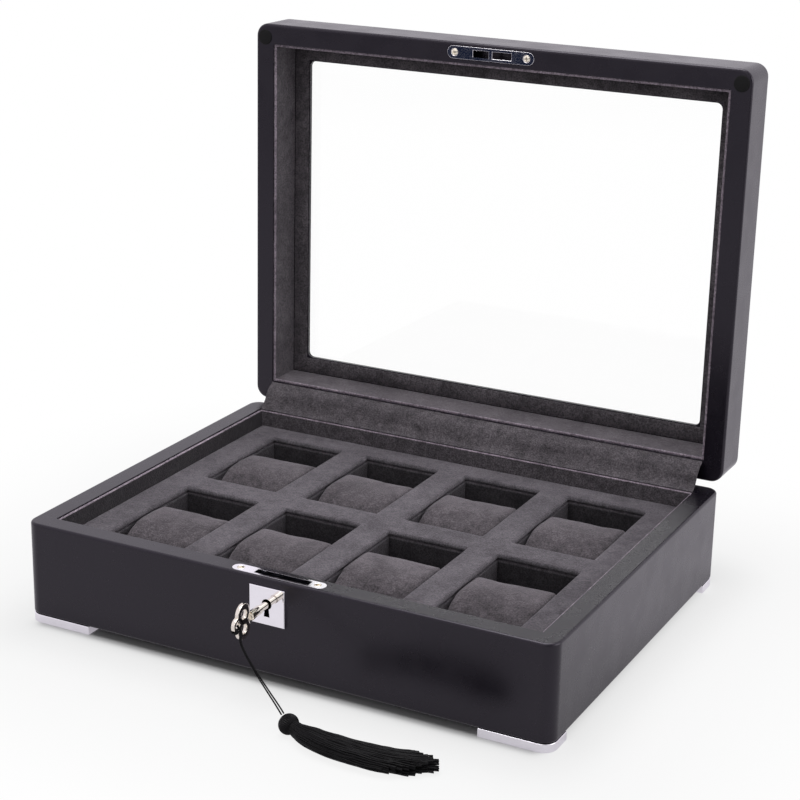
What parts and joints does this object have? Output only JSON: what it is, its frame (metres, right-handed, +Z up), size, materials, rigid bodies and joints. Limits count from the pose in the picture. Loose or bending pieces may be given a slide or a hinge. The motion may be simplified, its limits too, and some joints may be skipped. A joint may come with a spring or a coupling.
{
  "type": "watch box",
  "caption": "Lacquered watch box with a suede tray of removable watch cushions, a glazed hinged lid on stop hinges, corner feet and a claw lock whose key carries a tassel.",
  "frame": {"origin": "on the surface that the feet stand on, in the middle of the box's width and depth", "axes": "+X to the right as seen from the front, the keyhole side faces -Y and the hinges +Y, +Z up; the lid stands open on its stop"},
  "size_m": [0.33, 0.3505, 0.3148],
  "materials": {
    "black_lacquer": "satin black lacquer over wood",
    "bright_chrome": "polished",
    "lock_steel": "bright steel",
    "yellow_brass": "bright brass screws",
    "pale_key_plate": "pale nickel plate, polished",
    "suede_lining": "charcoal suede",
    "suede_tray": "charcoal suede over a padded core",
    "suede_cushion": "charcoal suede over foam",
    "clear_glass": "clear, polished edges",
    "black_rubber": "matte",
    "black_cord": "twisted satin cord",
    "black_thread": "satin threads"
  },
  "bodies": {
    "base": {"front_wall": "black_lacquer", "right_wall": "black_lacquer", "rear_wall": "black_lacquer", "left_wall": "black_lacquer", "floor_panel": "black_lacquer", "foot_front_left": "bright_chrome", "foot_front_right": "bright_chrome", "foot_rear_left": "bright_chrome", "foot_rear_right": "bright_chrome", "foot_screws": "bright_chrome", "lining_front": "suede_lining", "lining_rear": "suede_lining", "lining_left": "suede_lining", "lining_right": "suede_lining", "floor_pad": "suede_lining", "tray_rails": "suede_tray", "tray_dividers": "suede_tray", "escutcheon_plate": "bright_chrome", "lock_case": "lock_steel", "lock_faceplate": "bright_chrome", "lock_screws": "yellow_brass", "hinge_base_leaf_left": "bright_chrome", "hinge_base_leaf_right": "bright_chrome", "hinge_pins": "bright_chrome", "hinge_base_screws": "bright_chrome"},
    "lid": {"lid_front_rail": "black_lacquer", "lid_right_rail": "black_lacquer", "lid_rear_rail": "black_lacquer", "lid_left_rail": "black_lacquer", "lid_top": "black_lacquer", "glass_pane": "clear_glass", "window_trim": "suede_lining", "lid_lining_front": "suede_lining", "lid_lining_rear": "suede_lining", "lid_lining_left": "suede_lining", "lid_lining_right": "suede_lining", "striker_plate": "bright_chrome", "striker_screws": "yellow_brass", "bumpers": "black_rubber", "hinge_lid_leaf_left": "bright_chrome", "hinge_lid_leaf_right": "bright_chrome", "hinge_lid_screws": "bright_chrome", "hinge_cover": "suede_lining"},
    "lock_cam": {"lock_cam": "lock_steel"},
    "key": {"key": "pale_key_plate"},
    "claw_left": {"claw_left": "lock_steel"},
    "claw_right": {"claw_right": "lock_steel"},
    "tassel": {"key_cord": "black_cord", "tassel_head": "black_thread", "tassel_skirt": "black_thread"},
    "cushion_front_1": {"cushion_front_1": "suede_cushion"},
    "cushion_front_2": {"cushion_front_2": "suede_cushion"},
    "cushion_front_3": {"cushion_front_3": "suede_cushion"},
    "cushion_front_4": {"cushion_front_4": "suede_cushion"},
    "cushion_rear_1": {"cushion_rear_1": "suede_cushion"},
    "cushion_rear_2": {"cushion_rear_2": "suede_cushion"},
    "cushion_rear_3": {"cushion_rear_3": "suede_cushion"},
    "cushion_rear_4": {"cushion_rear_4": "suede_cushion"}
  },
  "joints": [
    {"name": "lid_hinge", "type": "hinge", "parent": "base", "child": "lid", "pos_m": [0, 0.1275, 0.0618], "axis": [-1, 0, 0], "range_deg": [-90.6, 0], "deforming": ["hinge_cover"]},
    {"name": "key_turn", "type": "hinge", "parent": "base", "child": "lock_cam", "pos_m": [-0.003, -0.118, 0.0472], "axis": [0, -1, 0], "range_deg": [-90, 0]},
    {"name": "claw_left_turn", "type": "hinge", "parent": "base", "child": "claw_left", "pos_m": [-0.014, -0.1203, 0.0575], "axis": [0, -1, 0], "range_deg": [0, 81]},
    {"name": "claw_right_turn", "type": "hinge", "parent": "base", "child": "claw_right", "pos_m": [0.0164, -0.1203, 0.0575], "axis": [0, -1, 0], "range_deg": [-81, 0]},
    {"name": "key_withdraw", "type": "slide", "parent": "lock_cam", "child": "key", "axis": [0, -1, 0], "range_m": [0, 0.035]},
    {"name": "tassel_follow", "type": "slide", "parent": "base", "child": "tassel", "axis": [0, -1, 0], "range_m": [0, 0.035]},
    {"name": "cushion_front_1_lift", "type": "slide", "parent": "base", "child": "cushion_front_1", "axis": [0, 0, 1], "range_m": [0, 0.055]},
    {"name": "cushion_front_2_lift", "type": "slide", "parent": "base", "child": "cushion_front_2", "axis": [0, 0, 1], "range_m": [0, 0.055]},
    {"name": "cushion_front_3_lift", "type": "slide", "parent": "base", "child": "cushion_front_3", "axis": [0, 0, 1], "range_m": [0, 0.055]},
    {"name": "cushion_front_4_lift", "type": "slide", "parent": "base", "child": "cushion_front_4", "axis": [0, 0, 1], "range_m": [0, 0.055]},
    {"name": "cushion_rear_1_lift", "type": "slide", "parent": "base", "child": "cushion_rear_1", "axis": [0, 0, 1], "range_m": [0, 0.055]},
    {"name": "cushion_rear_2_lift", "type": "slide", "parent": "base", "child": "cushion_rear_2", "axis": [0, 0, 1], "range_m": [0, 0.055]},
    {"name": "cushion_rear_3_lift", "type": "slide", "parent": "base", "child": "cushion_rear_3", "axis": [0, 0, 1], "range_m": [0, 0.055]},
    {"name": "cushion_rear_4_lift", "type": "slide", "parent": "base", "child": "cushion_rear_4", "axis": [0, 0, 1], "range_m": [0, 0.055]}
  ],
  "couplings": [
    {"joint": "claw_left_turn", "follows": "key_turn", "ratio": -0.9},
    {"joint": "claw_right_turn", "follows": "key_turn", "ratio": 0.9},
    {"joint": "tassel_follow", "follows": "key_withdraw", "ratio": 1}
  ]
}
